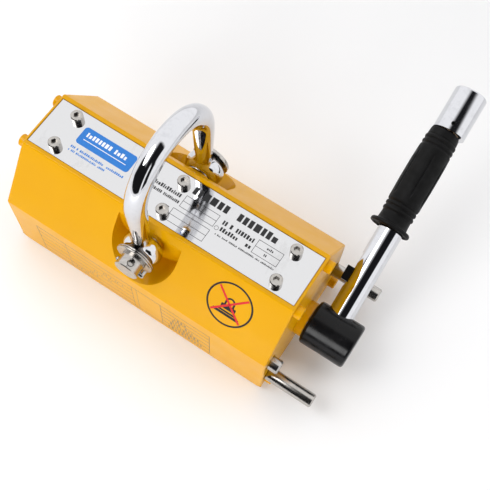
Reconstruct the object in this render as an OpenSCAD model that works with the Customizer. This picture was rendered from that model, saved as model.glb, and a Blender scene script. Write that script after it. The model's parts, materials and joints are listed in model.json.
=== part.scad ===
// Switchable permanent lifting magnet: a two-pole body with a magnet rotor that a hand lever turns,
// a spring-loaded latch key in the lever, and a swinging shackle on two side pins.
// Frame: origin at the middle of the underside, +X towards the lever, +Z up.

/* [Body] */
// Overall length of the body along X
body_l = 210; // [200:1:240]
// Width of the body across the poles
body_w = 102; // [98:1:112]
// Height of the body
body_h = 98.5; // [98:0.5:102]
// Width of the flat top
top_w = 44; // [42:1:50]
// Height of the shoulder where the side walls lean inwards
shoulder_z = 58.5; // [56:0.5:62]
// Rounding of the long outside edges
edge_r = 1.5; // [0.5:0.25:3]
// Thickness of each end cover
cover_t = 12; // [10:1:16]
// Chamfer along the bottom edge of each end cover
foot_chamfer = 4.5; // [2:0.5:4.5]
// Chamfer round the outer face of each end cover
face_chamfer = 0.8; // [0.3:0.1:1.2]
// Width of the vee groove that seats round bar
vee_w = 30; // [20:1:34]
// Depth of the vee groove
vee_d = 5; // [3:0.5:5.5]
// Gap between the two poles, filled by spacers and magnets
pole_gap = 16; // [12:1:18]

/* [Nameplate] */
// Length of the nameplate
plate_l = 205.5; // [190:0.5:206]
// Width of the nameplate
plate_w = 37.4; // [30:0.2:38]
// Thickness of the nameplate
plate_t = 1.4; // [1:0.1:2]
// Gap round the nameplate in its recess
plate_gap = 0.5; // [0.3:0.1:1]
// Depth of the recess that the nameplate lies in
plate_recess = 1.8; // [1.5:0.1:3]
// Distance between neighbouring nameplate screws along X
plate_screw_pitch = 85.5; // [80:0.5:90]
// Distance between the two rows of nameplate screws
plate_screw_rows = 24; // [23:1:26]

/* [Rotor] */
// Height of the rotor axis above the underside
axis_z = 33.6; // [33:0.1:34]
// Radius of the bore in the poles
bore_r = 25; // [22:0.5:25.5]
// Radius of the rotor
rotor_r = 24.4; // [20:0.1:24.6]
// Length of the rotor, end discs included
rotor_l = 184; // [170:1:185]
// Thickness of the rotor end discs
disc_t = 5; // [3:0.5:8]
// Thickness of the rotor magnets
rotor_magnet_t = 20; // [14:1:24]
// Width of the rotor magnets
rotor_magnet_w = 36; // [28:1:40]
// Radius of the rotor shaft
shaft_r = 8; // [7:0.5:8.5]
// Radial running clearance of the shaft and of the shackle pins
running_gap = 0.06; // [0.02:0.01:0.1]

/* [Lever] */
// Lever angle above the horizontal when the magnet is off
off_angle = 18; // [16:0.1:19]
// Turn from off to on
swing = 160.3; // [159:0.1:161]
// Lean of the lever towards the body
lean = 1.1; // [0:0.1:1.4]
// Distance of the lever axis from the end face of the body, at the rotor axis
lever_off = 21.8; // [21.6:0.1:22.4]
// Outer diameter of the lever tube
tube_d = 18.2; // [17.8:0.1:18.4]
// Wall of the lever tube
tube_wall = 1.8; // [1.5:0.1:2]
// Outer diameter of the hub
hub_d = 32.4; // [30:0.2:34]
// Length of the hub
hub_l = 34.6; // [32:0.2:38]
// Distance from the rotor axis to the tip of the lever
lever_reach = 192.5; // [190:0.5:196]
// Length of the end cap
cap_l = 33; // [33:0.5:33.5]
// Diameter of the end cap
cap_d = 23.8; // [22:0.1:24.4]
// Travel of the end cap, rod and key when they are pulled out
release_travel = 12; // [10:0.5:12]

/* [Stops] */
// Diameter of the stop pins
pin_d = 10; // [9:0.5:10]
// Length of the two long stop pins outside the cover
stop_len = 36.4; // [32:0.2:38]
// Length of the short safety pin outside the cover
safety_len = 7.5; // [6:0.1:7.5]
// Air left between the lever tube and a stop pin at each end of the swing
stop_air = 0.3; // [0.2:0.05:0.5]

/* [Shackle] */
// Height of the shackle pivot
pivot_z = 84; // [83:0.5:85]
// Distance between the centre lines of the shackle legs
shackle_w = 70; // [68:0.5:72]
// Height of the top centre line of the bow above the pivot
shackle_rise = 91; // [86:1:96]
// Diameter of the bow
bow_d = 14; // [12:0.5:15]
// Diameter of the legs where they join the eyes
neck_d = 11.4; // [10:0.2:13]
// Outer diameter of the eyes
eye_d = 28; // [26:0.5:29]
// Thickness of the eyes
eye_t = 13.6; // [12:0.2:14]
// Diameter of the shackle pins where they carry the eyes
journal_d = 17; // [16:0.2:17.4]
// Distance from the middle plane to the end of the front shackle pin
pin_reach = 54; // [52:0.5:56]
// Thickness of the flat head of the back shackle pin
pin_head_t = 2.6; // [2:0.2:4]
// Radius of the pocket that each eye swings in
pocket_r = 24.4; // [23:0.2:25]
// Distance from the middle plane to the back wall of each pocket
pocket_wall = 25.8; // [25:0.2:27]

/* [Hidden] */
$fn = 64;

half_l = body_l / 2;
half_w = body_w / 2;
pole_l = body_l - 2 * cover_t;
cut = 1;                                   // overrun of every cutting solid
lever_x = half_l + lever_off;
hub_x = half_l + 6;
on_angle = off_angle + swing;

// Socket-head screws of the cover (painted over) and of the nameplate
screw_r = 2.5;
screw_head_r = 4.25;
screw_head_h = 5;
screw_hex = 4;
screw_socket_d = 2.6;
screw_edge = 0.5;
plate_screw_depth = 9;
cover_bolt_head_r = 4.35;
cover_bolt_head_h = 4.8;
cover_bolt_depth = 20;
cover_bolts = [[-18.2, 91], [18.2, 91], [-42.5, 8.9], [42.5, 8.9]];

// Magnet stack between the poles
sill_z = 62;
bar_overrun = 2;                           // how far a gap bar runs into the bore before it is cut
stator_magnet_h = 18;
magnet_count = 5;
magnet_slit = 0.6;

// Bearings
bush_r = 10.5;
boss_r = 13;
boss_l = 5.5;
bush_left_l = 9;
hub_socket = 28;
shaft_end_air = 0.6;

// Stations along the lever, measured from the rotor axis
tube_start = 9;
tube_end = 158.2;
rod_r = 5;
rod_start = 33;
key_from = 36.1;
key_to = 46.6;
key_half_t = 4;
key_out = 12.9;
key_root = 2.8;
slot_tail = 4;
collar_from = 64;
collar_l = 3;
guide_from = 116;
guide_l = 10;
cap_from = lever_reach - cap_l;
tube_r = tube_d / 2;
tube_bore_r = tube_r - tube_wall;
grip_from = 81.6;
grip_to = 158.9;
spring_wire_r = 0.55;
spring_turns = 11;

// Stop pins: stations along and beside the lever where it meets each pin
pin_r = pin_d / 2;
stop_side = tube_r + pin_r + stop_air;
back_stop_s = 39.8;
front_stop_s = 43;
safety_s = 42.7;
safety_side = key_half_t + pin_r + 0.5;
pin_in_cover = 10;
pin_ring_r = pin_r + 0.8;
pin_ring_d = 0.8;

// Shackle
leg_y = shackle_w / 2;
eye_round = 5;
pocket_boss_r = 9.2;
shank_r = 6;
shank_from = 15;
washer_r = 13.5;
washer_t = 1.2;
washer_air = 0.1;
split_y = 50.2;
split_r = 1.6;
split_leg = 3.6;
tommy_y = 49.5;
tommy_r = 2;
pin_turn = 15;
eye_air = 0.3;
journal_from = leg_y - eye_t / 2 - eye_air;

// ---------- helpers ----------

// Solid of revolution along +X from x = 0
module along_x() {
    rotate([0, 90, 0]) children();
}

// Solid of revolution along +Y from y = 0
module along_y() {
    rotate([-90, 0, 0]) children();
}

// Places children on the rotor axis at the given station along X
module on_axis(x) {
    translate([x, 0, axis_z]) children();
}

// Lever frame: +Y runs out along the lever, +Z is its leading side
module in_lever() {
    translate([lever_x, 0, axis_z]) rotate([off_angle, 0, 0]) rotate([0, 0, lean]) children();
}

// Point at station s along and t beside the lever when it stands at angle a
function beside_lever(a, s, t) = [s * cos(a) - t * sin(a), axis_z + s * sin(a) + t * cos(a)];

back_pin_at = beside_lever(off_angle, back_stop_s, -stop_side);
front_pin_at = beside_lever(on_angle, front_stop_s, stop_side);
safety_pin_at = beside_lever(on_angle, safety_s, -safety_side);

// Arc of points round c, from angle a0 to a1
function arc(c, r, a0, a1, n = 4) =
    [for (i = [0 : n]) c + r * [cos(a0 + (a1 - a0) * i / n), sin(a0 + (a1 - a0) * i / n)]];

// Rounded corner at p between unit directions towards its two neighbours
function rounded(p, before, after, r) =
    let (u = (before - p) / norm(before - p), v = (after - p) / norm(after - p),
        half = acos(u * v) / 2, mid = (u + v) / norm(u + v), c = p + mid * r / sin(half),
        a0 = atan2((p + u * r / tan(half) - c)[1], (p + u * r / tan(half) - c)[0]),
        a1 = atan2((p + v * r / tan(half) - c)[1], (p + v * r / tan(half) - c)[0]),
        turn = a1 - a0 > 180 ? a1 - a0 - 360 : a1 - a0 < -180 ? a1 - a0 + 360 : a1 - a0)
    arc(c, r, a0, a0 + turn);

// Outer side of the body section on the +Y side, from the foot up to the flat top
function side_points(r) =
    let (foot = [half_w, 0], shoulder = [half_w, shoulder_z], top = [top_w / 2, body_h])
    concat(rounded(foot, [0, 0], shoulder, r), rounded(shoulder, foot, top, r),
        rounded(top, shoulder, [0, body_h], r));

// Extrudes a Y-Z outline along X over the length l from x0
module extrude_x(x0, l) {
    translate([x0, 0, 0]) rotate([90, 0, 90]) linear_extrude(l) children();
}

// Outline of the whole body section
module body_outline() {
    side = side_points(edge_r);
    n = len(side);
    polygon(concat(side, [for (i = [0 : n - 1]) [-side[n - 1 - i][0], side[n - 1 - i][1]]]));
}

// Vee groove for round bar, open downwards
module vee_cut() {
    extrude_x(-half_l, body_l)
        polygon([[-vee_w / 2 - cut * vee_w / vee_d / 2, -cut], [0, vee_d],
            [vee_w / 2 + cut * vee_w / vee_d / 2, -cut]]);
}

// Recess for the nameplate
module plate_cut() {
    l = plate_l + 2 * plate_gap;
    w = plate_w + 2 * plate_gap;
    translate([-l / 2, -w / 2, body_h - plate_recess]) cube([l, w, plate_recess + cut]);
}

// Hexagonal socket, cut downwards from z = 0
module hex_socket(across, depth) {
    translate([0, 0, -depth]) cylinder(h = depth + cut, r = across / 2 / cos(30), $fn = 6);
}

// Socket-head screw: underside of the head at z = 0, shank down to -depth
module socket_screw(head_r, head_h, depth) {
    difference() {
        union() {
            cylinder(h = head_h - screw_edge, r = head_r);
            translate([0, 0, head_h - screw_edge])
                cylinder(h = screw_edge, r1 = head_r, r2 = head_r - screw_edge);
            translate([0, 0, -depth]) cylinder(h = depth, r = screw_r);
        }
        translate([0, 0, head_h]) hex_socket(screw_hex, screw_socket_d);
    }
}

// Screw stations of the nameplate
module at_plate_screws() {
    for (i = [-1 : 1], j = [-1, 1])
        translate([i * plate_screw_pitch, j * plate_screw_rows / 2, body_h - plate_recess + plate_t])
            children();
}

// ---------- body ----------

// Bore for the rotor through both poles
module bore_cut() {
    on_axis(-half_l) along_x() cylinder(h = body_l, r = bore_r, $fn = 96);
}

// One pole with its share of the bore, groove, recess, pocket and holes, on the +Y side
module pole_block() {
    eye_floor = body_h - pivot_z + cut;
    difference() {
        extrude_x(-pole_l / 2, pole_l)
            polygon(concat([[pole_gap / 2, 0]], side_points(edge_r), [[pole_gap / 2, body_h]]));
        bore_cut();
        vee_cut();
        plate_cut();
        translate([0, pocket_wall, pivot_z]) along_y() cylinder(h = half_w, r = pocket_r);
        translate([-pocket_r, pocket_wall, pivot_z]) cube([2 * pocket_r, half_w, eye_floor]);
        translate([0, shank_from, pivot_z]) along_y() cylinder(h = half_w, r = shank_r);
        at_plate_screws() translate([0, 0, -plate_screw_depth])
            cylinder(h = plate_screw_depth + cut, r = screw_r);
        for (end = [0, 1], p = cover_bolts)
            if (p[0] > 0) mirror([end, 0, 0]) translate([half_l - cover_bolt_depth, p[0], p[1]])
                along_x() cylinder(h = cover_bolt_depth, r = screw_r);
    }
}

// Round boss on the back wall of a pocket, for the eye to bear on
module pocket_boss() {
    boss_h = journal_from - pocket_wall;
    difference() {
        translate([0, pocket_wall, pivot_z]) along_y() cylinder(h = boss_h, r = pocket_boss_r);
        translate([0, pocket_wall - cut, pivot_z]) along_y() cylinder(h = boss_h + 2 * cut, r = shank_r);
    }
}

module pole_back() {
    color("gold") union() {
        pole_block();
        intersection() {
            pocket_boss();
            extrude_x(-pocket_r, 2 * pocket_r) body_outline();
        }
    }
}

module pole_front() {
    mirror([0, 1, 0]) pole_back();
}

// Bar that fills the gap between the poles from height z0 to z1
module gap_bar(z0, z1) {
    translate([-pole_l / 2, -pole_gap / 2, z0]) cube([pole_l, pole_gap, z1 - z0]);
}

// Non-magnetic strip under the rotor
module spacer_bottom() {
    color("peru") difference() {
        gap_bar(0, axis_z - bore_r + bar_overrun);
        bore_cut();
        vee_cut();
    }
}

// Non-magnetic sill between the rotor and the fixed magnets
module magnet_sill() {
    color("peru") difference() {
        gap_bar(axis_z + bore_r - bar_overrun, sill_z);
        bore_cut();
    }
}

module stator_magnets() {
    pitch = pole_l / magnet_count;
    color("lightslategray") for (i = [0 : magnet_count - 1])
        translate([-pole_l / 2 + i * pitch + magnet_slit / 2, -pole_gap / 2, sill_z])
            cube([pitch - magnet_slit, pole_gap, stator_magnet_h]);
}

// Aluminium filler between the fixed magnets and the nameplate
module spacer_top() {
    color("silver") gap_bar(sill_z + stator_magnet_h, body_h - plate_recess);
}

// Cuts the edge from p to q of the end face at x = half_l to a chamfer of the size c
module edge_cut(p, q, c) {
    l = norm(q - p);
    translate([half_l, p[0], p[1]]) rotate([atan2(q[1] - p[1], q[0] - p[0]), 0, 0])
        translate([0, l / 2, 0]) rotate([0, 45, 0]) cube([c * sqrt(2), l, c * sqrt(2)], center = true);
}

// End cover with its outer edges chamfered, outer face towards +X at x = half_l
module cover_blank() {
    foot = [half_w, foot_chamfer];
    shoulder = [half_w, shoulder_z];
    top = [top_w / 2, body_h];
    difference() {
        extrude_x(pole_l / 2, cover_t) body_outline();
        plate_cut();
        vee_cut();
        edge_cut([-half_w - cut, 0], [half_w + cut, 0], foot_chamfer);
        edge_cut([-top[0], body_h], top, face_chamfer);
        for (side = [0, 1]) mirror([0, side, 0]) {
            edge_cut(foot, shoulder, face_chamfer);
            edge_cut(shoulder, top, face_chamfer);
        }
        for (p = cover_bolts)
            translate([0, p[0], p[1]]) along_x() cylinder(h = body_l, r = screw_r);
    }
}

module cover_left() {
    color("gold") mirror([1, 0, 0]) difference() {
        cover_blank();
        on_axis(pole_l / 2 - cut) along_x() cylinder(h = bush_left_l + cut, r = bush_r);
    }
}

// Hole for a pin in the right cover, with a shallow ring groove round its mouth
module pin_hole(p) {
    translate([half_l - pin_in_cover, p[0], p[1]]) along_x()
        cylinder(h = pin_in_cover + cut, r = pin_r);
    translate([half_l - pin_ring_d, p[0], p[1]]) along_x()
        cylinder(h = pin_ring_d + cut, r = pin_ring_r);
}

module cover_right() {
    color("gold") difference() {
        union() {
            cover_blank();
            on_axis(half_l - cut) along_x() cylinder(h = boss_l + cut, r = boss_r);
        }
        on_axis(pole_l / 2 - cut) along_x() cylinder(h = body_l, r = bush_r);
        pin_hole(back_pin_at);
        pin_hole(front_pin_at);
        pin_hole(safety_pin_at);
    }
}

// Four socket-head bolts of one end cover
module cover_bolt_set() {
    color("gold") for (p = cover_bolts)
        translate([half_l, p[0], p[1]]) along_x()
            socket_screw(cover_bolt_head_r, cover_bolt_head_h, cover_bolt_depth);
}

module cover_bolts_right() {
    cover_bolt_set();
}

module cover_bolts_left() {
    mirror([1, 0, 0]) cover_bolt_set();
}

module nameplate() {
    color("gainsboro") difference() {
        translate([-plate_l / 2, -plate_w / 2, body_h - plate_recess])
            cube([plate_l, plate_w, plate_t]);
        at_plate_screws() translate([0, 0, -plate_t - cut])
            cylinder(h = plate_t + 2 * cut, r = screw_r);
    }
}

module nameplate_screws() {
    color("lightgray") at_plate_screws() socket_screw(screw_head_r, screw_head_h, plate_screw_depth);
}

// Plain bronze bush from station x0 over the length l
module bush(x0, l) {
    color("darkgoldenrod") on_axis(x0) along_x() difference() {
        cylinder(h = l, r = bush_r);
        translate([0, 0, -cut]) cylinder(h = l + 2 * cut, r = shaft_r + running_gap);
    }
}

module bush_left() {
    bush(-pole_l / 2 - bush_left_l, bush_left_l);
}

module bush_right() {
    bush(pole_l / 2, cover_t + boss_l);
}

// Plain round pin out of the right cover at the point p
module end_pin(p, l) {
    edge = 0.9;
    color("silver") translate([half_l - pin_in_cover, p[0], p[1]]) along_x() {
        cylinder(h = pin_in_cover + l - edge, r = pin_r);
        translate([0, 0, pin_in_cover + l - edge]) cylinder(h = edge, r1 = pin_r, r2 = pin_r - edge);
    }
}

module stop_pin_front() {
    end_pin(front_pin_at, stop_len);
}

module stop_pin_back() {
    end_pin(back_pin_at, stop_len);
}

module safety_pin() {
    end_pin(safety_pin_at, safety_len);
}

// ---------- rotor ----------

// Rotor frame: +Z is the direction of magnetisation, which lies along Y when the magnet is on
module in_rotor() {
    on_axis(0) rotate([-swing - 90, 0, 0]) children();
}

core_l = rotor_l - 2 * disc_t;
rotor_screw_circle = 17;
rotor_screw_depth = 12;
rotor_screw_sink = 2.5;
rotor_screw_hex = 3;
rotor_screw_angles = [30, -30, 150, 210];

// Holes or screws at one end of the rotor, at +X
module at_rotor_screws() {
    for (a = rotor_screw_angles)
        rotate([a, 0, 0]) translate([rotor_l / 2 - disc_t, 0, rotor_screw_circle]) along_x() children();
}

// Iron segment of the rotor on its +Z side
module rotor_segment() {
    color("dimgray") difference() {
        intersection() {
            translate([-core_l / 2, 0, 0]) along_x() cylinder(h = core_l, r = rotor_r, $fn = 96);
            translate([-core_l / 2, -rotor_r, rotor_magnet_t / 2]) cube([core_l, 2 * rotor_r, rotor_r]);
        }
        at_rotor_screws() translate([0, 0, -rotor_screw_depth])
            cylinder(h = rotor_screw_depth + cut, r = screw_r);
        mirror([1, 0, 0]) at_rotor_screws() translate([0, 0, -rotor_screw_depth])
            cylinder(h = rotor_screw_depth + cut, r = screw_r);
    }
}

module rotor_segment_a() {
    in_rotor() rotor_segment();
}

module rotor_segment_b() {
    in_rotor() mirror([0, 0, 1]) rotor_segment();
}

module rotor_magnets() {
    pitch = core_l / magnet_count;
    color("lightslategray") in_rotor() for (i = [0 : magnet_count - 1])
        translate([-core_l / 2 + i * pitch + magnet_slit / 2, -rotor_magnet_w / 2, -rotor_magnet_t / 2])
            cube([pitch - magnet_slit, rotor_magnet_w, rotor_magnet_t]);
}

// Brass fillers beside the rotor magnets
module rotor_fillers() {
    color("peru") in_rotor() difference() {
        intersection() {
            translate([-core_l / 2, 0, 0]) along_x() cylinder(h = core_l, r = rotor_r, $fn = 96);
            translate([-core_l / 2, -rotor_r, -rotor_magnet_t / 2])
                cube([core_l, 2 * rotor_r, rotor_magnet_t]);
        }
        translate([-half_l, -rotor_magnet_w / 2, -half_l]) cube([body_l, rotor_magnet_w, body_l]);
    }
}

// End disc with its journal, at +X; the journal is l long
module rotor_end(l) {
    color("silver") difference() {
        union() {
            translate([rotor_l / 2 - disc_t, 0, 0]) along_x() cylinder(h = disc_t, r = rotor_r);
            translate([rotor_l / 2 - cut, 0, 0]) along_x() cylinder(h = l + cut, r = shaft_r);
        }
        at_rotor_screws() translate([0, 0, -cut]) cylinder(h = disc_t + 2 * cut, r = screw_r);
        at_rotor_screws() translate([0, 0, disc_t - rotor_screw_sink])
            cylinder(h = rotor_screw_sink + cut, r = screw_head_r);
    }
}

// Low-head screws of one rotor end disc
module rotor_screw_set() {
    under_head = disc_t - rotor_screw_sink;
    head_h = rotor_screw_sink - 0.1;
    color("gray") at_rotor_screws() difference() {
        union() {
            translate([0, 0, -rotor_screw_depth]) cylinder(h = rotor_screw_depth + under_head, r = screw_r);
            translate([0, 0, under_head]) cylinder(h = head_h, r = screw_head_r);
        }
        translate([0, 0, under_head + head_h]) hex_socket(rotor_screw_hex, head_h / 2);
    }
}

module rotor_end_left() {
    end_air = (pole_l - rotor_l) / 2;
    in_rotor() mirror([1, 0, 0]) rotor_end(end_air + bush_left_l - shaft_end_air);
}

module rotor_end_right() {
    in_rotor() rotor_end(hub_x + hub_socket - shaft_end_air - rotor_l / 2);
}

module rotor_screws_left() {
    in_rotor() mirror([1, 0, 0]) rotor_screw_set();
}

module rotor_screws_right() {
    in_rotor() rotor_screw_set();
}

// ---------- lever ----------

hub_round = 2;

// Hub body turned about the rotor axis, with its edges rounded
module hub_blank() {
    r = hub_d / 2;
    on_axis(hub_x) along_x() rotate_extrude($fn = 96)
        polygon(concat([[0, 0]], arc([r - hub_round, hub_round], hub_round, -90, 0),
            arc([r - hub_round, hub_l - hub_round], hub_round, 0, 90), [[0, hub_l]]));
}

grub_r = 3;
grub_from = shaft_r;
grub_l = 7;

module hub() {
    color("#15161a") difference() {
        hub_blank();
        on_axis(hub_x - cut) along_x() cylinder(h = hub_socket + cut, r = shaft_r);
        in_lever() translate([0, tube_start, 0]) along_y() cylinder(h = hub_d, r = tube_r);
        in_lever() mirror([0, 1, 0]) along_y() cylinder(h = hub_d, r = grub_r);
    }
}

module hub_grub_screw() {
    color("#26272b") in_lever() mirror([0, 1, 0]) translate([0, grub_from, 0]) along_y() difference() {
        cylinder(h = grub_l, r = grub_r);
        translate([0, 0, grub_l]) hex_socket(rotor_screw_hex, grub_l / 2);
    }
}

module lever_tube() {
    slot_half = key_half_t + 0.3;
    slot_from = key_from - slot_tail + slot_half;
    slot_to = key_to + release_travel + 0.5;
    color("lightgray") in_lever() difference() {
        translate([0, tube_start, 0]) along_y() difference() {
            cylinder(h = tube_end - tube_start, r = tube_r);
            translate([0, 0, -cut]) cylinder(h = tube_end, r = tube_bore_r);
        }
        translate([-2 * tube_r, slot_from, -slot_half])
            cube([2 * tube_r, slot_to - slot_from, 2 * slot_half]);
        translate([-2 * tube_r, slot_from, 0]) along_x() cylinder(h = 2 * tube_r, r = slot_half);
    }
}

// Guide ring pressed into the lever tube
module tube_guide(s) {
    color("darkgoldenrod") in_lever() translate([0, s, 0]) along_y() difference() {
        cylinder(h = guide_l, r = tube_bore_r);
        translate([0, 0, -cut]) cylinder(h = guide_l + 2 * cut, r = rod_r + running_gap);
    }
}

module tube_guide_inner() {
    tube_guide(guide_from);
}

module tube_guide_outer() {
    tube_guide(tube_end - guide_l);
}

// Ring rib of the grip: centre station, radius of the crest
function rib(s, r) = [[r - 0.7, s - 1.5], [r, s - 0.8], [r, s + 0.8], [r - 0.7, s + 1.5]];

module grip() {
    flange_r = 14.9;
    flange_half = 1.5;
    flange_c = grip_from + flange_half;
    body_r = 12.1;
    neck_r = 11;
    end_r = 10.6;
    profile = concat([[tube_r, grip_from], [tube_r + 2, grip_from]],
        arc([flange_r - flange_half, flange_c], flange_half, -90, 90, 6),
        [[neck_r + 0.7, flange_c + flange_half + 0.3], [neck_r, 87.5], [neck_r, 92]],
        rib(94, 11.7), rib(98, 11.7),
        [[neck_r + 0.1, 100], [11.7, 100.8], [11.9, 108], [body_r, 116]],
        [[body_r, 130], [11.9, 138], [11.7, 144.6], [neck_r + 0.1, 145.4]],
        rib(147.4, 11.7), rib(151.2, 11.6),
        [[neck_r, 153], [11.2, 153.6], [end_r, grip_to], [tube_r, grip_to]]);
    color("#1b1b1d") in_lever() along_y() rotate_extrude($fn = 72) polygon(profile);
}

// Compression spring between the rod collar and the inner guide, as a stack of turns at its squeezed length
module return_spring() {
    from = collar_from + collar_l + release_travel + 2 * spring_wire_r;
    to = guide_from - spring_wire_r;
    mean_r = (rod_r + tube_bore_r) / 2;
    color("gray") in_lever() along_y() for (i = [0 : spring_turns])
        translate([0, 0, from + (to - from) * i / spring_turns]) rotate_extrude()
            translate([mean_r, 0]) circle(r = spring_wire_r, $fn = 16);
}

module slide_rod() {
    color("silver") difference() {
        in_lever() along_y() union() {
            translate([0, 0, rod_start]) cylinder(h = lever_reach - 4 - rod_start, r = rod_r);
            translate([0, 0, collar_from]) cylinder(h = collar_l, r = tube_bore_r - 0.2);
        }
        in_lever() translate([-2 * rod_r - key_root, key_from, -key_half_t])
            cube([2 * rod_r, key_to - key_from, 2 * key_half_t]);
        roll_pin_solid(rod_r);
    }
}

// Steel key that slides with the rod and stands out of the lever tube towards the body
module latch_key() {
    color("#202126") in_lever() translate([-key_out, key_from, -key_half_t])
        cube([key_out - key_root, key_to - key_from, 2 * key_half_t]);
}

cap_round = 1.2;
cap_dome = 1;
roll_r = 1.5;
roll_s = cap_from + 4.9;

// Cross pin through the end cap and the rod, reaching r to each side
module roll_pin_solid(r) {
    in_lever() translate([0, roll_s, -r - cut]) cylinder(h = 2 * (r + cut), r = roll_r, $fn = 32);
}

module end_cap() {
    r = cap_d / 2;
    color("lightgray") difference() {
        in_lever() translate([0, cap_from, 0]) along_y() difference() {
            rotate_extrude($fn = 96) polygon(concat([[0, 0], [r, 0]],
                arc([r - cap_round, cap_l - cap_dome - cap_round], cap_round, 0, 70),
                [[r / 2, cap_l - cap_dome / 4], [0, cap_l]]));
            translate([0, 0, -cut]) cylinder(h = cap_l - 4 + cut, r = rod_r);
        }
        roll_pin_solid(r);
    }
}

module roll_pin() {
    pin_half = cap_d / 2 - 0.8;
    color("gray") in_lever() translate([0, roll_s, -pin_half]) difference() {
        cylinder(h = 2 * pin_half, r = roll_r, $fn = 32);
        translate([0, 0, -cut]) cylinder(h = 2 * (pin_half + cut), r = 0.8, $fn = 32);
    }
}

// ---------- shackle ----------

// One leg with its eye, on the +Y side, without the pin hole
module shackle_leg() {
    r = eye_d / 2;
    half_t = eye_t / 2;
    bend_z = pivot_z + shackle_rise - leg_y;
    translate([0, leg_y, pivot_z + r - 4])
        cylinder(h = bend_z - pivot_z - r + 4, r1 = neck_d / 2, r2 = bow_d / 2);
    translate([0, leg_y, pivot_z]) along_y() rotate_extrude()
        polygon(concat([[0, -half_t]], arc([r - eye_round, -half_t + eye_round], eye_round, -90, 0),
            arc([r - eye_round, half_t - eye_round], eye_round, 0, 90), [[0, half_t]]));
}

module shackle() {
    bend_z = pivot_z + shackle_rise - leg_y;
    color("lightgray") difference() {
        union() {
            shackle_leg();
            mirror([0, 1, 0]) shackle_leg();
            translate([0, 0, bend_z]) rotate([90, 0, 90]) rotate_extrude(angle = 180, $fn = 96)
                translate([leg_y, 0]) circle(r = bow_d / 2);
        }
        translate([0, -half_w, pivot_z]) along_y() cylinder(h = body_w, r = journal_d / 2 + running_gap);
    }
}

// Frame of the cross holes in the outer end of a shackle pin, turned about the pin axis
module in_pin_end(y) {
    translate([0, y, pivot_z]) rotate([0, pin_turn, 0]) children();
}

// Shackle pin on the +Y side, up to y = reach: threaded shank in the pole, journal through the eye
module shackle_pin(reach) {
    edge = 0.5;
    journal_l = reach - journal_from - edge;
    translate([0, shank_from, pivot_z]) along_y() cylinder(h = journal_from - shank_from, r = shank_r);
    translate([0, journal_from, pivot_z]) along_y() cylinder(h = journal_l, r = journal_d / 2);
    translate([0, reach - edge, pivot_z]) along_y()
        cylinder(h = edge, r1 = journal_d / 2, r2 = journal_d / 2 - edge);
}

// Back pin, with a flat head outside the eye and a hexagon socket in it
module shackle_pin_back() {
    edge = 0.5;
    socket_depth = 5;
    socket_r = 4.6;
    head_from = leg_y + eye_t / 2 + eye_air;
    head_to = head_from + pin_head_t;
    color("silver") difference() {
        union() {
            shackle_pin(head_to);
            translate([0, head_from, pivot_z]) along_y() cylinder(h = pin_head_t - edge, r = washer_r);
            translate([0, head_to - edge, pivot_z]) along_y()
                cylinder(h = edge, r1 = washer_r, r2 = washer_r - edge);
        }
        translate([0, head_to - socket_depth, pivot_z]) along_y()
            cylinder(h = 2 * socket_depth, r = socket_r, $fn = 6);
    }
}

// Front pin, with cross holes for a split pin and a tommy bar
module shackle_pin_front() {
    mouth_t = 0.8;
    color("silver") mirror([0, 1, 0]) difference() {
        shackle_pin(pin_reach);
        in_pin_end(split_y) translate([-journal_d, 0, 0]) along_x()
            cylinder(h = 2 * journal_d, r = split_r);
        in_pin_end(tommy_y) translate([0, 0, journal_d / 4]) cylinder(h = journal_d, r = tommy_r);
        in_pin_end(tommy_y) translate([0, 0, journal_d / 2 - mouth_t])
            cylinder(h = 2 * mouth_t, r1 = tommy_r, r2 = tommy_r + 2 * mouth_t);
    }
}

// Pair of thin washers outside the front eye
module washers_front() {
    first_y = leg_y + eye_t / 2 + eye_air;
    pitch = washer_t + washer_air;
    color("silver") mirror([0, 1, 0]) for (i = [0, 1])
        translate([0, first_y + i * pitch, pivot_z]) along_y() difference() {
            cylinder(h = washer_t, r = washer_r);
            translate([0, 0, -cut]) cylinder(h = washer_t + 2 * cut, r = journal_d / 2);
        }
}

// Split pin through the front shackle pin: stem with a round head and a leg bent back to the washers
module split_pin_front() {
    r = split_r - 0.1;
    out = journal_d / 2 + r + 0.3;
    head_x = journal_d / 2 - 0.2;
    color("silver") mirror([0, 1, 0]) in_pin_end(split_y) {
        translate([-head_x, 0, 0]) along_x() cylinder(h = head_x + out, r = r, $fn = 24);
        translate([out, 0, 0]) sphere(r = r, $fn = 24);
        translate([out, 0, 0]) along_y() translate([0, 0, -split_leg])
            cylinder(h = split_leg, r = r, $fn = 24);
        translate([-head_x, 0, 0]) sphere(r = r, $fn = 24);
    }
}

// ---------- nodes ----------

pole_front();
pole_back();
spacer_bottom();
magnet_sill();
stator_magnets();
spacer_top();
cover_left();
cover_right();
cover_bolts_left();
cover_bolts_right();
nameplate();
nameplate_screws();
bush_left();
bush_right();
stop_pin_front();
stop_pin_back();
safety_pin();
rotor_end_left();
rotor_end_right();
rotor_segment_a();
rotor_segment_b();
rotor_magnets();
rotor_fillers();
rotor_screws_left();
rotor_screws_right();
hub();
hub_grub_screw();
lever_tube();
tube_guide_inner();
tube_guide_outer();
grip();
return_spring();
slide_rod();
latch_key();
end_cap();
roll_pin();
shackle();
shackle_pin_front();
shackle_pin_back();
washers_front();
split_pin_front();
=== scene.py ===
"""Looks of a switchable lifting magnet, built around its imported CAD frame. Lengths are in metres."""
import json
import math

import bpy
import numpy as np
from mathutils import Matrix, Vector


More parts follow.
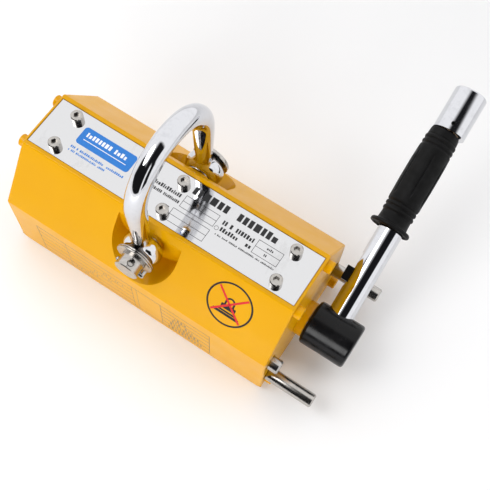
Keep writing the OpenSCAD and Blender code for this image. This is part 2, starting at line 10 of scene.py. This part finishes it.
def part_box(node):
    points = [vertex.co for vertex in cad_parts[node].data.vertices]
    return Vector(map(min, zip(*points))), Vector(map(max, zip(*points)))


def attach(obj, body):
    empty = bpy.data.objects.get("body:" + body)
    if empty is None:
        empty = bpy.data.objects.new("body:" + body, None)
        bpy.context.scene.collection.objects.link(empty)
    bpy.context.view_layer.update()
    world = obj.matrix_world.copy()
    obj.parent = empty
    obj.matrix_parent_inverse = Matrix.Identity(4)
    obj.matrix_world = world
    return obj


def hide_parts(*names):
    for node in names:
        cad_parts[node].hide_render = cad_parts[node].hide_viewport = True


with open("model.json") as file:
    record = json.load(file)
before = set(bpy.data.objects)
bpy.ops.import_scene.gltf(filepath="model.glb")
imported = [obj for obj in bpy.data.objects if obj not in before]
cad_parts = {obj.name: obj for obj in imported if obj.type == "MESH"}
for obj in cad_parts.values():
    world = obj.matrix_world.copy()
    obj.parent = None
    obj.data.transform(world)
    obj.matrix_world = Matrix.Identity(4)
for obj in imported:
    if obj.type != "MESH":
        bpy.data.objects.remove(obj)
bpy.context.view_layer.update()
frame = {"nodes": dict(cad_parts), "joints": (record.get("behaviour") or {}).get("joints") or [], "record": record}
JOINTS = {j["name"]: j for j in frame["joints"]}
MM = 0.001

CAMERA_AT = (0.1565, -0.1859, 0.5983)
CAMERA_LOOK = (-0.1852, 0.3395, -0.9222)
CAMERA_ROLL = 4.97  # degrees
CAMERA_LENS = 63.53  # millimetres
LIGHTS_AIM = (0, 0, 0.05)


# ---------------------------------------------------------------- camera

def set_camera():
    """Steep three-quarter view from the front right, with the camera rolled a little."""
    forward = Vector(CAMERA_LOOK).normalized()
    level = forward.cross(Vector((0, 0, 1))).normalized()
    upright = level.cross(forward)
    roll = math.radians(CAMERA_ROLL)
    right = level * math.cos(roll) + upright * math.sin(roll)
    up = upright * math.cos(roll) - level * math.sin(roll)
    turn = Matrix((right, up, -forward)).transposed().to_4x4()
    data = bpy.data.cameras.new("camera")
    data.lens = CAMERA_LENS
    data.clip_start = 0.01
    cam = bpy.data.objects.new("camera", data)
    cam.matrix_world = Matrix.Translation(CAMERA_AT) @ turn
    bpy.context.collection.objects.link(cam)
    bpy.context.scene.camera = cam


set_camera()


# ---------------------------------------------------------------- materials

class Graph:
    """A node tree with short names for the nodes that are used most. Values are sockets or numbers."""

    def __init__(self, tree):
        self.tree = tree

    def node(self, kind, **values):
        n = self.tree.nodes.new("ShaderNode" + kind)
        for key, value in values.items():
            if key in n.inputs:
                n.inputs[key].default_value = value
            else:
                setattr(n, key, value)
        return n

    def link(self, a, b):
        self.tree.links.new(a, b)

    def spread(self, fac, low, high, start=0.3, end=0.7, curve="LINEAR"):
        """The value fac, stretched from start..end to low..high."""
        n = self.node("MapRange", interpolation_type=curve)
        n.inputs["From Min"].default_value = start
        n.inputs["From Max"].default_value = end
        n.inputs["To Min"].default_value = low
        n.inputs["To Max"].default_value = high
        self.link(fac, n.inputs["Value"])
        return n.outputs["Result"]

    def math(self, operation, a, b):
        n = self.node("Math", operation=operation)
        for value, at in ((a, 0), (b, 1)):
            if isinstance(value, float):
                n.inputs[at].default_value = value
            else:
                self.link(value, n.inputs[at])
        return n.outputs[0]

    def product(self, first, *others):
        for other in others:
            first = self.math("MULTIPLY", first, other)
        return first

    def mix(self, fac, a, b):
        """Color a where fac is 0 and b where it is 1. Each is a socket or a tuple."""
        n = self.node("Mix", data_type="RGBA")
        self.link(fac, n.inputs["Factor"])
        color_a, color_b, color_out = 6, 7, 2
        for value, at in ((a, color_a), (b, color_b)):
            if isinstance(value, tuple):
                n.inputs[at].default_value = (*value, 1)
            else:
                self.link(value, n.inputs[at])
        return n.outputs[color_out]


class Shader(Graph):
    """A Principled material with helpers for its procedural detail, in object coordinates."""

    def __init__(self, name, color, rough=0.5, metal=0.0, spec=0.5):
        self.mat = bpy.data.materials.new(name)
        self.mat.use_nodes = True
        self.mat.diffuse_color = (*color, 1)
        super().__init__(self.mat.node_tree)
        self.put = self.tree.nodes["Principled BSDF"].inputs
        self.put["Base Color"].default_value = (*color, 1)
        self.put["Roughness"].default_value = rough
        self.put["Metallic"].default_value = metal
        self.put["Specular IOR Level"].default_value = spec
        self.coords = self.node("TexCoord").outputs["Object"]
        self.normal = None

    def stretched(self, scale, turn=(0, 0, 0)):
        """Object coordinates, scaled and turned."""
        m = self.node("Mapping")
        m.inputs["Scale"].default_value = scale
        m.inputs["Rotation"].default_value = turn
        self.link(self.coords, m.inputs["Vector"])
        return m.outputs["Vector"]

    def noise(self, scale, detail=2.0, rough=0.5, vector=None):
        n = self.node("TexNoise", Scale=scale, Detail=detail, Roughness=rough)
        self.link(vector or self.coords, n.inputs["Vector"])
        return n.outputs["Fac"]

    def color(self, out):
        self.link(out, self.put["Base Color"])

    def rough(self, out):
        self.link(out, self.put["Roughness"])

    def coat(self, weight, rough):
        self.put["Coat Weight"].default_value = weight
        self.put["Coat Roughness"].default_value = rough

    def bump(self, height, distance, strength=1.0):
        """Adds relief, distance metres deep, on top of the relief that is already there."""
        n = self.node("Bump", Strength=strength, Distance=distance)
        self.link(height, n.inputs["Height"])
        if self.normal:
            self.link(self.normal, n.inputs["Normal"])
        self.normal = n.outputs["Normal"]
        self.link(self.normal, self.put["Normal"])


def paint():
    s = Shader("yellow_paint", (0.69, 0.335, 0.0), rough=0.35, spec=0.05)
    s.coat(0.3, 0.05)
    tone = s.spread(s.noise(22, 3), 0.0, 1.0)
    base = s.mix(tone, (0.68, 0.325, 0.0), (0.70, 0.345, 0.0))
    dust = s.spread(s.noise(700, 3, 0.7), 0.0, 0.12, 0.62, 0.80)
    s.color(s.mix(dust, base, (0.54, 0.24, 0.0)))
    s.rough(s.spread(s.noise(60, 3), 0.30, 0.42))
    s.bump(s.noise(420, 1.5), 0.00002, 0.25)
    s.bump(s.noise(45, 1), 0.0002, 0.10)
    return s.mat


def chrome():
    rough = 0.035
    s = Shader("chrome_plate", (0.66, 0.665, 0.69), rough=rough, metal=1.0)
    s.rough(s.spread(s.noise(70, 4, 0.6), rough, rough * 2.2))
    dull = s.spread(s.noise(160, 5, 0.7), 0.0, 1.0, 0.5, 0.8)
    s.color(s.mix(dull, (0.67, 0.675, 0.70), (0.58, 0.585, 0.61)))
    s.bump(s.noise(180, 2), 0.00001, 0.12)
    return s.mat


def steel(name, color, rough, grain):
    """Bright turned steel. Its fine grain is stretched along each axis where grain is small."""
    s = Shader(name, color, rough=rough, metal=1.0)
    rings = s.noise(2600, 3, 0.7, s.stretched(grain))
    s.rough(s.spread(rings, rough * 0.8, rough * 1.35))
    s.color(s.mix(s.spread(s.noise(300, 4), 0.0, 1.0), color, tuple(0.82 * c for c in color)))
    s.bump(rings, 0.00001, 0.4)
    return s.mat


def plate_metal():
    s = Shader("polished_plate", (0.66, 0.66, 0.66), rough=0.06, metal=1.0)
    hair = s.noise(1500, 4, 0.7, s.stretched((1, 0.03, 1), (0, 0, 0.35)))
    smear = s.noise(42, 5, 0.65, s.stretched((1, 0.5, 1), (0, 0, 0.9)))
    s.rough(s.spread(smear, 0.045, 0.15, 0.4, 0.75))
    s.color(s.mix(s.spread(smear, 0.0, 1.0, 0.56, 0.72), (0.67, 0.67, 0.675), (0.56, 0.555, 0.555)))
    s.bump(hair, 0.000006, 0.25)
    return s.mat


def black_metal():
    color, rough = (0.002, 0.002, 0.0025), 0.22
    s = Shader("black_steel", color, rough=rough, spec=0.22)
    worn = s.spread(s.noise(90, 5, 0.7), 0.0, 1.0, 0.45, 0.8)
    s.color(s.mix(worn, color, tuple(1.7 * c + 0.003 for c in color)))
    s.rough(s.spread(s.noise(180, 4), rough * 0.85, rough * 1.3))
    s.bump(s.noise(1500, 3), 0.00002, 0.3)
    return s.mat


def rubber():
    s = Shader("black_rubber", (0.006, 0.006, 0.006), rough=0.5, spec=0.12)
    worn = s.spread(s.noise(120, 5, 0.6), 0.0, 1.0, 0.4, 0.8)
    s.color(s.mix(worn, (0.0045, 0.0045, 0.0045), (0.010, 0.010, 0.0105)))
    s.rough(s.spread(s.noise(260, 4), 0.40, 0.62))
    s.bump(s.noise(2600, 2), 0.00004, 0.4)
    return s.mat


def plain(name, color, rough):
    """Machined metal or sintered block, for the pieces inside."""
    s = Shader(name, color, rough=rough, metal=1.0)
    grain = s.noise(700, 4, 0.6)
    s.color(s.mix(s.spread(grain, 0.0, 1.0), color, tuple(0.8 * c for c in color)))
    s.rough(s.spread(grain, rough * 0.8, rough * 1.2))
    s.bump(grain, 0.00002, 0.3)
    return s.mat


def ink(name, color):
    s = Shader(name, color, rough=0.35, spec=0.4)
    grain = s.noise(1800, 4, 0.7)
    s.color(s.mix(s.spread(grain, 0.0, 1.0), color, tuple(min(1, 1.25 * c + 0.006) for c in color)))
    s.rough(s.spread(grain, 0.3, 0.45))
    s.bump(grain, 0.000005, 0.3)
    return s.mat


MATS = {
    "yellow_paint": paint(),
    "polished_plate": plate_metal(),
    "chrome_plate": chrome(),
    "zinc_steel": steel("zinc_steel", (0.52, 0.495, 0.465), 0.2, (1, 1, 1)),
    "black_steel": black_metal(),
    "black_rubber": rubber(),
    "magnet_block": plain("magnet_block", (0.42, 0.43, 0.45), 0.35),
    "pole_iron": plain("pole_iron", (0.30, 0.30, 0.31), 0.45),
    "turned_steel": steel("turned_steel", (0.6, 0.6, 0.6), 0.25, (1, 0.02, 0.02)),
    "brass_filler": plain("brass_filler", (0.72, 0.52, 0.22), 0.3),
    "bronze_bush": plain("bronze_bush", (0.62, 0.38, 0.16), 0.35),
    "aluminium_filler": plain("aluminium_filler", (0.80, 0.81, 0.82), 0.35),
}
INK_BLACK = ink("ink_black", (0.008, 0.008, 0.009))
INK_RED = ink("ink_red", (0.55, 0.012, 0.012))
INK_GREY = ink("ink_grey", (0.13, 0.08, 0.03))
LABEL_BLUE = ink("label_blue", (0.012, 0.16, 0.52))
LABEL_WHITE = ink("label_white", (0.75, 0.76, 0.78))

for part in frame["record"]["subparts"]:
    obj = frame["nodes"][part["node"]]
    obj.data.materials.clear()
    obj.data.materials.append(MATS[part["material_slot"]])


# ---------------------------------------------------------------- pieces

def mesh_piece(name, verts, faces, mat, body, smooth=True):
    mesh = bpy.data.meshes.new(name)
    mesh.from_pydata([tuple(v) for v in verts], [], faces)
    mesh.materials.append(mat)
    if smooth:
        mesh.shade_smooth()
    obj = bpy.data.objects.new(name, mesh)
    bpy.context.collection.objects.link(obj)
    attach(obj, body)
    return obj


def step(x, low, high):
    """Rises smoothly from 0 at low to 1 at high."""
    t = np.clip((x - low) / (high - low), 0, 1)
    return t * t * (3 - 2 * t)


def lever_frame():
    """Lever coordinates: Y runs out along the lever from the rotor axis, Z is its leading side."""
    axis = Vector(JOINTS["rotor_turn"]["axis"])
    out = Vector(JOINTS["release_slide"]["axis"]).normalized()
    low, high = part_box("lever_tube")
    pivot = Vector(JOINTS["rotor_turn"]["pos_m"])
    pivot.x = (low[0] + high[0]) / 2
    turn = Matrix((axis, out, axis.cross(out))).transposed().to_4x4()
    return Matrix.Translation(pivot) @ turn


LEVER = lever_frame()


def grip_outline():
    """The grip's profile in millimetres: places along the lever and the radius at each of them.

    A thin flange with a rounded rim, a neck with two ring ribs, the barrel, and two more ribs.
    """
    tube_r, start, end = 9.13, 81.6, 158.85
    flange = [(start + 2.0, tube_r), (start + 1.5, 9.8), (start + 1.3, 11.0), (start + 1.1, 12.9),
              (start + 0.7, 13.4), (start + 0.2, 13.7), (start, 14.1), (start + 0.15, 14.5),
              (start + 0.5, 14.78), (start + 1.1, 14.88), (start + 1.8, 14.86), (start + 2.4, 14.65),
              (start + 2.9, 14.1), (start + 3.1, 13.2), (start + 3.4, 12.0), (start + 4.2, 11.3),
              (start + 6.0, 11.0), (90.8, 10.9)]
    barrel = [(90.8, 10.85), (99.9, 10.85), (100.6, 11.5), (101.6, 11.8), (108, 11.9),
              (116, 12.08), (130, 12.08), (138, 11.9), (144.0, 11.65), (144.8, 11.3),
              (145.3, 10.9), (152.8, 10.8), (153.6, 11.0), (156, 10.8), (158.3, 10.6)]
    tail = [(end - 0.3, 10.5), (end - 0.05, 10.3), (end, 10.0), (end, tube_r)]
    neck_s = np.linspace(90.9, 104, 80)
    body_s = np.linspace(104.2, 142, 120)
    top_s = np.linspace(142.2, 158.3, 100)
    s = np.concatenate([neck_s, body_s, top_s])
    r = np.interp(s, [p[0] for p in barrel], [p[1] for p in barrel])
    r = np.convolve(np.pad(r, 2, mode="edge"), np.ones(5) / 5, mode="valid")
    half = 1.35
    for at, high in ((94, 0.85), (98, 0.85), (147.4, 0.8), (151.2, 0.8)):
        r = r + high * np.sqrt(np.clip(1 - ((s - at) / half) ** 2, 0, 1))
    s = np.concatenate([[p[0] for p in flange], s, [p[0] for p in tail]])
    r = np.concatenate([[p[1] for p in flange], r, [p[1] for p in tail]])
    return s, r


def grip():
    """Rubber grip: its outline turned about the lever, with six grooves that fade out at both ends."""
    turns, grooves, first_groove, mean_r = 240, 6, 68, 12
    s, r = grip_outline()
    theta = np.arange(turns) * 2 * np.pi / turns
    ss, tt = np.meshgrid(s, theta, indexing="ij")
    rr = np.repeat(r[:, None], turns, axis=1)
    fade = step(ss, 103.5, 110) * (1 - step(ss, 134, 141))
    for k in range(grooves):
        middle = math.radians(first_groove + 360 / grooves * k)
        off = (np.mod(tt - middle + np.pi, 2 * np.pi) - np.pi) * mean_r
        groove = 0.9 * np.exp(-(off / 0.55) ** 2)
        lip = 0.12 * np.exp(-((off - 1.3) / 0.6) ** 2)
        rr = rr - fade * (groove - lip)
    verts = np.stack([rr * np.sin(tt), ss, rr * np.cos(tt)], -1).reshape(-1, 3) * MM
    faces = []
    for i in range(len(s)):
        up = (i + 1) % len(s)
        for j in range(turns):
            k = (j + 1) % turns
            faces.append((i * turns + j, i * turns + k, up * turns + k, up * turns + j))
    verts = [LEVER @ Vector(v) for v in verts]
    piece = mesh_piece("grip_rubber", verts, faces, MATS["black_rubber"], "rotor")
    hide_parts("grip")


def surface_net(grid, value):
    """Points and quads of the surface where value is zero on a grid. It is negative inside.

    Every cell that the surface cuts gets one point, the mean of the crossings on its edges. Every
    grid edge that the surface cuts joins the points of the four cells around it.
    """
    inside = value < 0
    cells = tuple(n - 1 for n in value.shape)
    total = np.zeros(cells + (3,))
    count = np.zeros(cells)
    quads = []
    for a in range(3):
        b, c = [k for k in range(3) if k != a]
        near = [slice(None)] * 3
        far = [slice(None)] * 3
        near[a], far[a] = slice(0, -1), slice(1, None)
        near, far = tuple(near), tuple(far)
        crossed = inside[near] != inside[far]
        t = np.where(crossed, value[near] / np.where(crossed, value[near] - value[far], 1), 0)
        point = grid[near] + t[..., None] * (grid[far] - grid[near])
        for db in (0, 1):
            for dc in (0, 1):
                part = [slice(None)] * 3
                part[b] = slice(db, cells[b] + db)
                part[c] = slice(dc, cells[c] + dc)
                part = tuple(part)
                total += np.where(crossed[part][..., None], point[part], 0)
                count += crossed[part]
        at = np.argwhere(crossed)
        whole = (at[:, [b, c]] > 0) & (at[:, [b, c]] < [cells[b], cells[c]])
        at = at[whole.all(1)]
        ring = []
        for db, dc in ((1, 1), (0, 1), (0, 0), (1, 0)):
            q = at.copy()
            q[:, b] -= db
            q[:, c] -= dc
            ring.append(np.ravel_multi_index(tuple(q.T), cells))
        ring = np.stack(ring, 1)
        leaving = inside[near][tuple(at.T)]
        ahead = leaving if a != 1 else ~leaving
        quads.append(np.where(ahead[:, None], ring, ring[:, ::-1]))
    quads = np.concatenate(quads)
    used = np.flatnonzero(count.ravel())
    order = np.full(count.size, -1)
    order[used] = np.arange(len(used))
    points = total.reshape(-1, 3)[used] / count.ravel()[used][:, None]
    return points, order[quads]


def onto_surface(points, field, reach):
    """Slides points onto the surface where field is zero, by at most reach in each of four moves."""
    e = 0.02
    for _ in range(4):
        off = np.clip(field(*points.T), -reach, reach)
        ahead = [field(*(points + d).T) - field(*(points - d).T) for d in np.eye(3) * e]
        slope = np.stack(ahead, 1) / (2 * e)
        points = points - off[:, None] * slope / np.maximum((slope * slope).sum(1), 0.2)[:, None]
    return points


def soft_union(a, b, k):
    """Distance to the union of two shapes, with a fillet about k wide in the seam."""
    h = np.maximum(k - np.abs(a - b), 0) / k
    return np.minimum(a, b) - h * h * k / 4


def shackle():
    """Forged shackle: an arch on two tapered legs that flow into rounded eyes. In millimetres."""
    low, high = [np.array(v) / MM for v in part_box("shackle")]
    pivot = round(JOINTS["shackle_swing"]["pos_m"][2] / MM, 3)
    leg, bow_r, thinner = 35.0, 7, 1.35
    bend = high[2] - bow_r - leg
    hole_r, eye_r, eye_half, round_r = 8.56, 14, 6.8, 6.3

    def field(x, y, z):
        """Distance to the shackle's surface: legs below the bend, the arch above it, and the eyes."""
        ay = np.abs(y)
        arch = np.hypot(x, np.hypot(y, z - bend) - leg) - bow_r
        leg_r = bow_r - thinner * (1 - step(z, pivot + 8, bend))
        foot = np.maximum(pivot + 9 - z, 0)
        side = np.sqrt(x ** 2 + (ay - leg) ** 2 + foot ** 2) - leg_r
        bar = np.where(z > bend, arch, side)
        around = np.hypot(x, z - pivot)
        qx, qy = around - (eye_r - round_r), np.abs(ay - leg) - (eye_half - round_r)
        eye = np.minimum(np.maximum(qx, qy), 0) + np.hypot(np.maximum(qx, 0), np.maximum(qy, 0)) - round_r
        solid = soft_union(bar, eye, 3.4)
        return -soft_union(-solid, around - hole_r, 0.5)

    cell, margin = 0.7, 1.5
    axes = [np.arange(a, b + cell, cell) for a, b in zip(low - margin, high + margin)]
    grid = np.stack(np.meshgrid(*axes, indexing="ij"), -1)
    points, quads = surface_net(grid, field(grid[..., 0], grid[..., 1], grid[..., 2]))
    points = onto_surface(points, field, cell / 3)
    quads = [tuple(int(k) for k in q) for q in quads]
    piece = mesh_piece("shackle_forged", points * MM, quads, MATS["chrome_plate"], "shackle")
    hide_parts("shackle")


class Print:
    """Flat printed marks, a few hundredths of a millimetre proud of a surface.

    Points on the plane are in millimetres along u and v from the origin.
    """

    def __init__(self, name, mat, origin, u, v, slot, proud=0.05):
        self.name, self.mat, self.slot = name, mat, slot
        self.o, self.u, self.v = Vector(origin), Vector(u).normalized(), Vector(v).normalized()
        self.n = self.u.cross(self.v)
        self.proud = proud
        self.verts, self.faces = [], []

    def point(self, x, y, h):
        self.verts.append((self.o + self.u * x + self.v * y + self.n * h) * MM)

    def area(self, points):
        """A filled convex outline, anticlockwise."""
        k, n = len(self.verts), len(points)
        for h in (0.0, self.proud):
            for x, y in points:
                self.point(x, y, h)
        self.faces.append(tuple(range(k + n - 1, k - 1, -1)))
        self.faces.append(tuple(range(k + n, k + 2 * n)))
        for i in range(n):
            j = (i + 1) % n
            self.faces.append((k + i, k + j, k + n + j, k + n + i))

    def box(self, x0, y0, x1, y1):
        self.area([(x0, y0), (x1, y0), (x1, y1), (x0, y1)])

    def line(self, a, b, width):
        a, b = Vector(a), Vector(b)
        d = (b - a).normalized() * width / 2
        w = Vector((-d.y, d.x))
        self.area([a - d - w, b + d - w, b + d + w, a - d + w])

    def outline(self, x0, y0, x1, y1, width):
        corners = [(x0, y0), (x1, y0), (x1, y1), (x0, y1)]
        for a, b in zip(corners, corners[1:] + corners[:1]):
            self.line(a, b, width)

    def arc(self, x, y, r, width, a0=0, a1=360, n=72):
        """A circular band, closed on itself when it goes all the way round."""
        k = len(self.verts)
        full = a1 - a0 == 360
        steps = n if full else n + 1
        for i in range(steps):
            a = math.radians(a0 + (a1 - a0) * i / n)
            for h in (0.0, self.proud):
                for q in (r - width, r):
                    self.point(x + q * math.cos(a), y + q * math.sin(a), h)
        for i in range(n):
            a, b = k + 4 * i, k + 4 * ((i + 1) % steps)
            self.faces.append((a + 2, a + 3, b + 3, b + 2))
            self.faces.append((a + 1, a, b, b + 1))
            self.faces.append((a + 3, a + 1, b + 1, b + 3))
            self.faces.append((a, a + 2, b + 2, b))
        if not full:
            b = k + 4 * n
            self.faces += [(k, k + 1, k + 3, k + 2), (b + 1, b, b + 2, b + 3)]

    def rounded(self, x0, y0, x1, y1, r):
        points = []
        corners = ((x1 - r, y0 + r, -90), (x1 - r, y1 - r, 0), (x0 + r, y1 - r, 90), (x0 + r, y0 + r, 180))
        for cx, cy, a0 in corners:
            for i in range(7):
                a = math.radians(a0 + 15 * i)
                points.append((cx + r * math.cos(a), cy + r * math.sin(a)))
        self.area(points)

    def marks(self, x0, x1, y, high, seed, wide=0.5, gap=0.25, fill=0.9):
        """A row of small plain blocks in place of a line of lettering."""
        pick = np.random.default_rng(seed)
        x = x0
        while x < x1 - wide * high:
            w = high * wide * pick.uniform(0.7, 1.25)
            if pick.random() < fill:
                top = high * pick.choice([1.0, 1.0, 0.72])
                self.box(x, y, min(x + w, x1), y + top)
            x += w + high * gap

    def done(self):
        mesh_piece(self.name, self.verts, self.faces, self.mat, "housing", smooth=False)


def plate_print():
    """Blue label, two title rows and empty boxes on the nameplate. Places are in plate coordinates."""
    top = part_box("nameplate")[1][2] / MM
    label_t, ink_t, hair = 0.08, 0.04, 0.3

    def on_plate(name, mat, height, proud):
        return Print(name, mat, (0, 0, height), (1, 0, 0), (0, 1, 0), "polished_plate", proud)

    label = on_plate("plate_label", LABEL_BLUE, top, label_t)
    label.rounded(-77, -2.6, -35, 11, 2.4)
    label.done()
    over = on_plate("plate_label_marks", LABEL_WHITE, top + label_t, ink_t)
    over.marks(-73, -39, 4.4, 3.4, seed=3)
    over.box(-73, 1.6, -39, 2.1)
    over.done()
    under = on_plate("plate_label_rows", LABEL_BLUE, top, ink_t)
    under.marks(-77, -34, -7.2, 1.7, seed=5)
    under.marks(-77, -48, -9.9, 1.5, seed=6)
    under.done()
    dark = on_plate("plate_table", INK_BLACK, top, ink_t)
    dark.marks(8, 36, 9.4, 5.6, seed=11, wide=0.66, gap=0.2, fill=1.0)
    dark.marks(42, 73, 9.4, 5.6, seed=12, wide=0.66, gap=0.2, fill=1.0)
    boxes = ((6.5, -2.6, 32, 6.2, 1.8), (4.2, -15, 32, -5.6, -10.3), (61.7, -3.5, 80, 6.4, 1.5))
    for x0, y0, x1, y1, middle in boxes:
        dark.outline(x0, y0, x1, y1, hair)
        dark.line((x0, middle), (x1, middle), hair)
    dark.marks(-17, 5, 2.4, 2.7, seed=21, wide=0.4, gap=0.2)
    dark.marks(-17, 5, -1.8, 2.1, seed=22, wide=0.4, gap=0.2)
    dark.marks(-3, 2.6, -8.6, 2.2, seed=23)
    dark.marks(-3, 2.6, -13.4, 2.2, seed=24)
    dark.marks(36, 60.5, 2.0, 3.2, seed=25, wide=0.45, gap=0.2)
    dark.marks(37, 60.5, -2.6, 3.0, seed=26, wide=0.45, gap=0.2)
    dark.marks(36, 80, -6.4, 1.2, seed=27)
    dark.marks(69, 73.5, 3.2, 1.7, seed=28)
    dark.marks(69.5, 72.5, -1.7, 1.7, seed=29)
    dark.arc(34.5, -2.0, 1.5, 0.25)
    dark.done()


def slope_print():
    """Round sign on the leaning front side: a ring, a plain block on a bar, and a red cross over it."""
    along, uphill = Vector((1, 0, 0)), Vector((0, 29, 40)).normalized()
    normal = along.cross(uphill)
    foot_of_slope = Vector((0, -51, 58.5))
    middle = Vector((66.9, -35.2, 80.7))
    middle = middle - normal * normal.dot(middle - foot_of_slope)
    ring_t = 0.05
    ring = Print("sign_ring", INK_BLACK, middle, along, uphill, "yellow_paint", ring_t)
    ring.arc(0, 0, 16.5, 1.3)
    ring.arc(0, 1.6, 3.6, 1.3, a0=0, a1=180, n=24)
    ring.area([(-3.6, 1.6), (-3.6, -1.4), (-2.3, -1.4), (-2.3, 1.6)])
    ring.area([(2.3, 1.6), (2.3, -1.4), (3.6, -1.4), (3.6, 1.6)])
    ring.box(-5.4, -4.6, 5.4, -1.2)
    ring.box(-9.6, -9.3, 9.6, -7.4)
    ring.box(-6.6, -7.0, 6.6, -5.6)
    ring.done()
    cross = Print("sign_cross", INK_RED, middle + normal * ring_t, along, uphill, "yellow_paint", 0.05)
    cross.line((-10.2, -9.6), (10.2, 9.6), 1.5)
    cross.line((-10.2, 9.6), (10.2, -9.6), 1.5)
    cross.done()


def side_print():
    """Faint empty table printed on the upright front side."""
    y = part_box("pole_front")[0][1] / MM
    left, right, low, high = -82.5, 62, 6, 45
    table = Print("side_table", INK_GREY, (0, y, 0), (1, 0, 0), (0, 0, 1), "yellow_paint", 0.03)
    for z in (low, high):
        table.line((left, z), (right, z), 0.8)
    for z in (14, 22, 30, 37.5):
        table.line((left, z), (-2, z), 0.5)
        table.line((22, z), (right, z), 0.8)
    for x, width in ((left, 0.5), (-58, 0.35), (-2, 0.35), (2, 0.35), (22, 0.5), (right, 0.5)):
        table.line((x, low), (x, high), width)
    for k, z in enumerate((9, 17, 25, 32.5)):
        table.marks(-54 + 9 * k, -42 + 11 * k, z, 2.0, seed=40 + k, wide=0.5, gap=0.5, fill=0.7)
        table.marks(27 + 2 * k, 57 - 4 * k, z - 1, 4.2, seed=50 + k, wide=0.3, gap=0.35, fill=0.9)
    table.done()


def soften(width, *names):
    """Rounds the sharp edges of CAD nodes a little, without changing their own meshes."""
    for name in names:
        obj = frame["nodes"][name]
        weld = obj.modifiers.new("weld", "WELD")
        weld.merge_threshold = 1e-6
        bevel = obj.modifiers.new("bevel", "BEVEL")
        bevel.width = width * MM
        bevel.segments = 2
        bevel.limit_method = "ANGLE"
        bevel.angle_limit = math.radians(40)
        bevel.harden_normals = True


grip()
shackle()
plate_print()
slope_print()
side_print()
soften(0.3, "latch_key", "washers_front", "shackle_pin_back")
soften(0.5, "stop_pin_front", "stop_pin_back", "safety_pin")


# ---------------------------------------------------------------- surroundings

def floor():
    """Pale floor just below the magnet."""
    cells, half, height = 24, 1.6, -0.0004
    ticks = [-half + 2 * half * i / cells for i in range(cells + 1)]
    verts = [(x, y, height) for y in ticks for x in ticks]
    row = cells + 1
    starts = [j * row + i for j in range(cells) for i in range(cells)]
    faces = [(k, k + 1, k + row + 1, k + row) for k in starts]
    mesh = bpy.data.meshes.new("floor")
    mesh.from_pydata(verts, [], faces)
    s = Shader("floor", (0.93, 0.93, 0.93), rough=0.7, spec=0.2)
    s.color(s.mix(s.spread(s.noise(3, 2), 0.0, 1.0), (0.925, 0.925, 0.93), (0.945, 0.945, 0.945)))
    mesh.materials.append(s.mat)
    obj = bpy.data.objects.new("floor", mesh)
    bpy.context.collection.objects.link(obj)


def studio():
    """White room. Bright metal also mirrors a dark gap in it, above and before the front.

    A bright strip crosses the gap, and the camera sees only the white.
    """
    world = bpy.data.worlds.new("studio")
    bpy.context.scene.world = world
    world.use_nodes = True
    g = Graph(world.node_tree)
    g.tree.nodes.clear()
    split = g.node("SeparateXYZ")
    g.link(g.node("TexCoord").outputs["Generated"], split.inputs[0])
    x, y, z = split.outputs

    def rise(out, low, high):
        return g.spread(out, 0.0, 1.0, low, high, "SMOOTHSTEP")

    def fall(out, low, high):
        return g.spread(out, 1.0, 0.0, low, high, "SMOOTHSTEP")

    above = g.product(rise(x, -0.40, 0.05), fall(x, 0.78, 0.84), fall(y, 0.02, 0.12), rise(z, 0.10, 0.18))
    front = g.product(rise(x, -0.95, -0.85), fall(x, 0.84, 0.90), fall(y, -0.32, -0.22))
    front = g.product(front, rise(z, -0.02, 0.02), fall(z, 0.72, 0.86))
    strip = g.product(rise(x, 0.44, 0.48), fall(x, 0.60, 0.64), fall(y, -0.55, -0.45))
    seen = g.node("LightPath").outputs["Is Camera Ray"]
    gap = g.product(g.math("MAXIMUM", above, front), g.math("SUBTRACT", 1.0, strip))
    gap = g.product(gap, g.math("SUBTRACT", 1.0, seen))
    back = g.node("Background", Strength=1.0)
    g.link(g.mix(gap, (1.18, 1.18, 1.19), (0.012, 0.012, 0.014)), back.inputs["Color"])
    g.link(back.outputs[0], g.node("OutputWorld").inputs["Surface"])


def soft_box(name, at, to, size, power, mirrored=True):
    """Round area light that points from one place to another."""
    data = bpy.data.lights.new(name, "AREA")
    data.shape = "DISK"
    data.size = size
    data.energy = power
    obj = bpy.data.objects.new(name, data)
    at, to = Vector(at), Vector(to)
    obj.matrix_world = Matrix.Translation(at) @ (to - at).to_track_quat("-Z", "Y").to_matrix().to_4x4()
    obj.visible_glossy = mirrored
    bpy.context.collection.objects.link(obj)
    return obj


def sheen(name, at, size, power, node):
    """Soft box that shines on one node alone."""
    low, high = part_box(node)
    lamp = soft_box(name, at, (Vector(low) + Vector(high)) / 2, size, power)
    lit = bpy.data.collections.new(name)
    lit.objects.link(frame["nodes"][node])
    lamp.light_linking.receiver_collection = lit


floor()
studio()
soft_box("key", (-0.7, -0.5, 1.3), LIGHTS_AIM, 0.9, 7)
soft_box("fill", (0.2, -1.4, 0.5), LIGHTS_AIM, 1.4, 18, mirrored=False)
sheen("hub_sheen", (0.076, -0.86, 0.53), 0.5, 4.5, "hub")
bpy.context.scene.view_settings.view_transform = "Standard"
